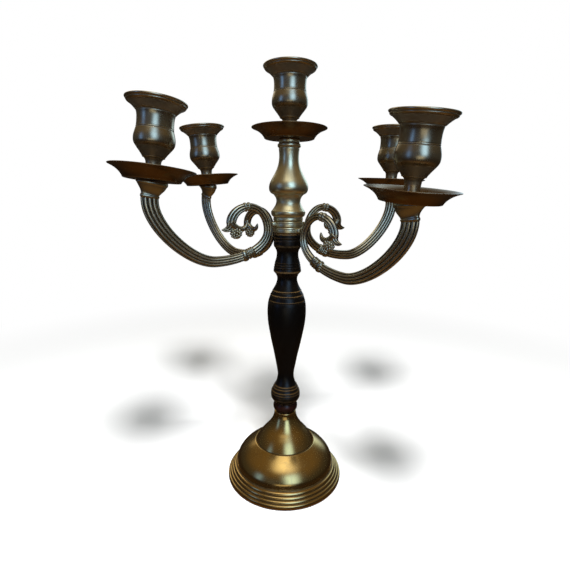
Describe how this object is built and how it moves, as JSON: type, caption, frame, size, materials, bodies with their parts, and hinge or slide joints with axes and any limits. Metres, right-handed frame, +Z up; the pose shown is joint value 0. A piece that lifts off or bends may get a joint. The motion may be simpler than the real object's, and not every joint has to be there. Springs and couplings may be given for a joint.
{
  "type": "five-light candelabra",
  "caption": "Turned column on a stepped bell base, carrying a centre light and two double scroll arms, each light a flared cup over a drip pan.",
  "frame": {"origin": "centre of the felt's underside, where the foot stands on the table", "axes": "+Z up the column, -Y towards the front, +X to the right seen from the front"},
  "size_m": [0.2717, 0.2233, 0.3821],
  "materials": {
    "polished_brass": "polished, warm gold, lightly stained",
    "aged_brass": "satin, olive-brown patina with bright edges",
    "bronzed_brass": "brown patina, satin",
    "black_lacquer": "turned wood in glossy black lacquer, brown where it has worn at the rings",
    "red_brown_lacquer": "turned wood in glossy dark red-brown lacquer",
    "steel": "plain zinc-plated",
    "felt": "dark green felt"
  },
  "bodies": {
    "stand": {"base_shell": "polished_brass", "base_felt": "felt", "tie_rod": "steel", "rod_washer": "steel", "rod_nut": "steel", "column_collar": "red_brown_lacquer", "column": "black_lacquer", "upper_stem": "aged_brass", "centre_drip_pan": "bronzed_brass"},
    "lower_arms": {"lower_arm_ring": "aged_brass", "front_right_arm": "aged_brass", "back_left_arm": "aged_brass", "front_right_drip_pan": "bronzed_brass", "back_left_drip_pan": "bronzed_brass"},
    "upper_arms": {"upper_arm_ring": "aged_brass", "front_left_arm": "aged_brass", "back_right_arm": "aged_brass", "front_left_drip_pan": "bronzed_brass", "back_right_drip_pan": "bronzed_brass"},
    "centre_stud": {"centre_cup_stud": "steel"},
    "centre_cup": {"centre_candle_cup": "aged_brass"},
    "front_left_stud": {"front_left_cup_stud": "steel"},
    "front_left_cup": {"front_left_candle_cup": "aged_brass"},
    "back_right_stud": {"back_right_cup_stud": "steel"},
    "back_right_cup": {"back_right_candle_cup": "aged_brass"},
    "front_right_stud": {"front_right_cup_stud": "steel"},
    "front_right_cup": {"front_right_candle_cup": "aged_brass"},
    "back_left_stud": {"back_left_cup_stud": "steel"},
    "back_left_cup": {"back_left_candle_cup": "aged_brass"}
  },
  "joints": [
    {"name": "lower_arms_swivel", "type": "hinge", "parent": "stand", "child": "lower_arms", "pos_m": [0, 0, 0.24625], "axis": [0, 0, 1], "range_deg": [-15, 15]},
    {"name": "upper_arms_swivel", "type": "hinge", "parent": "stand", "child": "upper_arms", "pos_m": [0, 0, 0.25145], "axis": [0, 0, 1], "range_deg": [-15, 15]},
    {"name": "centre_cup_lift", "type": "slide", "parent": "stand", "child": "centre_stud", "axis": [0, 0, 1], "range_m": [0, 0.0064]},
    {"name": "centre_cup_unscrew", "type": "hinge", "parent": "centre_stud", "child": "centre_cup", "pos_m": [0, 0, 0.3239], "axis": [0, 0, 1], "range_deg": [0, 2880]},
    {"name": "front_left_cup_lift", "type": "slide", "parent": "upper_arms", "child": "front_left_stud", "axis": [0.0915, 0.0591, 0.9941], "range_m": [0, 0.0064]},
    {"name": "front_left_cup_unscrew", "type": "hinge", "parent": "front_left_stud", "child": "front_left_cup", "pos_m": [-0.1041, -0.04965, 0.2858], "axis": [0.0915, 0.0591, 0.9941], "range_deg": [0, 2880]},
    {"name": "back_right_cup_lift", "type": "slide", "parent": "upper_arms", "child": "back_right_stud", "axis": [0.0231, -0.0332, 0.9992], "range_m": [0, 0.0064]},
    {"name": "back_right_cup_unscrew", "type": "hinge", "parent": "back_right_stud", "child": "back_right_cup", "pos_m": [0.10268, 0.05319, 0.28511], "axis": [0.0231, -0.0332, 0.9992], "range_deg": [0, 2880]},
    {"name": "front_right_cup_lift", "type": "slide", "parent": "lower_arms", "child": "front_right_stud", "axis": [0.0566, -0.0985, 0.9935], "range_m": [0, 0.0064]},
    {"name": "front_right_cup_unscrew", "type": "hinge", "parent": "front_right_stud", "child": "front_right_cup", "pos_m": [0.08332, -0.08335, 0.27255], "axis": [0.0566, -0.0985, 0.9935], "range_deg": [0, 2880]},
    {"name": "back_left_cup_lift", "type": "slide", "parent": "lower_arms", "child": "back_left_stud", "axis": [-0.0809, -0.0086, 0.9967], "range_m": [0, 0.0064]},
    {"name": "back_left_cup_unscrew", "type": "hinge", "parent": "back_left_stud", "child": "back_left_cup", "pos_m": [-0.08578, 0.07374, 0.28675], "axis": [-0.0809, -0.0086, 0.9967], "range_deg": [0, 2880]}
  ],
  "couplings": [
    {"joint": "centre_cup_unscrew", "follows": "centre_cup_lift", "rad_per_m": 7854},
    {"joint": "front_left_cup_unscrew", "follows": "front_left_cup_lift", "rad_per_m": 7854},
    {"joint": "back_right_cup_unscrew", "follows": "back_right_cup_lift", "rad_per_m": 7854},
    {"joint": "front_right_cup_unscrew", "follows": "front_right_cup_lift", "rad_per_m": 7854},
    {"joint": "back_left_cup_unscrew", "follows": "back_left_cup_lift", "rad_per_m": 7854}
  ]
}
